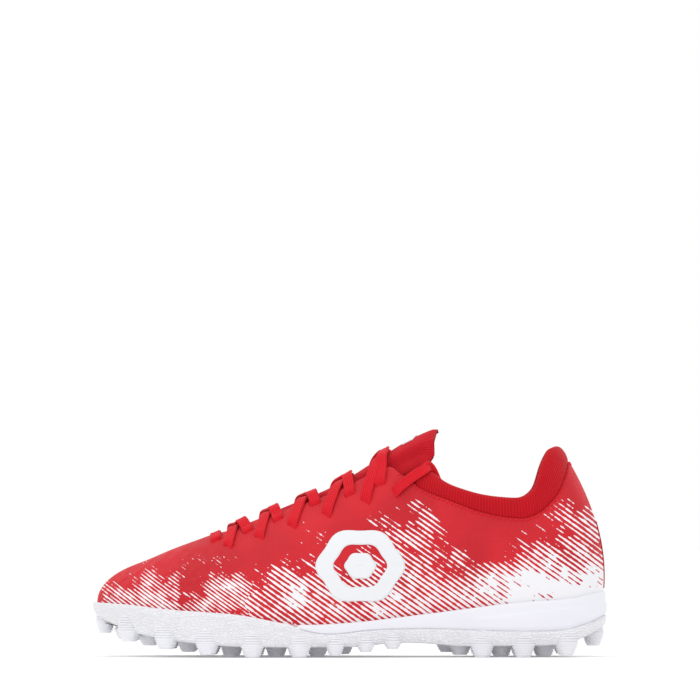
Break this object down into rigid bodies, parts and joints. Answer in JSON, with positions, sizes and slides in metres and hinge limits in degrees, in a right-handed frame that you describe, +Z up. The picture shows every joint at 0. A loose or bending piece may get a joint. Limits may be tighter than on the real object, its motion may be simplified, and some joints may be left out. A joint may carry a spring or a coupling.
{
  "type": "soccer cleat",
  "caption": "Low-cut left turf soccer shoe with a printed one-piece shell, knit collar and tongue, flat lace, cushioned midsole and lugged rubber outsole.",
  "frame": {"origin": "centre of the bounding box on the ground plane", "axes": "+X towards the heel, +Y towards the medial (inner) side, +Z up"},
  "size_m": [0.2888, 0.1049, 0.1281],
  "materials": {
    "rubber_white": "matte",
    "foam_white": "matte",
    "shell_textile": "matte",
    "knit_red": "matte",
    "lining_textile": "matte",
    "board_fibre": "matte",
    "padding_foam": "matte",
    "stiffener_sheet": "matte",
    "lace_cord": "matte",
    "tip_film": "satin",
    "transfer_white": "satin"
  },
  "bodies": {
    "shoe": {"outsole": "rubber_white", "midsole": "foam_white", "insole_board": "board_fibre", "upper_shell": "shell_textile", "upper_lining": "lining_textile", "toe_puff": "stiffener_sheet", "heel_counter": "stiffener_sheet", "eyestay_backer_lateral": "stiffener_sheet", "eyestay_backer_medial": "stiffener_sheet", "collar_knit": "knit_red", "collar_foam_lateral": "padding_foam", "collar_foam_medial": "padding_foam", "tongue_knit": "knit_red", "lace": "lace_cord", "lace_tip_lateral": "tip_film", "lace_tip_medial": "tip_film", "side_emblem_lateral": "transfer_white", "side_emblem_medial": "transfer_white", "heel_strip": "knit_red"},
    "sockliner": {"sockliner_foam": "padding_foam", "sockliner_cover": "lining_textile"},
    "tongue_top": {"tongue_tab": "knit_red", "tongue_label": "transfer_white"}
  },
  "joints": [
    {"name": "sockliner_peel", "type": "hinge", "parent": "shoe", "child": "sockliner", "pos_m": [-0.1323, 0, 0.0215], "axis": [0, -1, 0], "range_deg": [0, 8]},
    {"name": "tongue_fold", "type": "hinge", "parent": "shoe", "child": "tongue_top", "pos_m": [0.0238, 0, 0.1165], "axis": [0, -1, 0], "range_deg": [0, 35]}
  ]
}
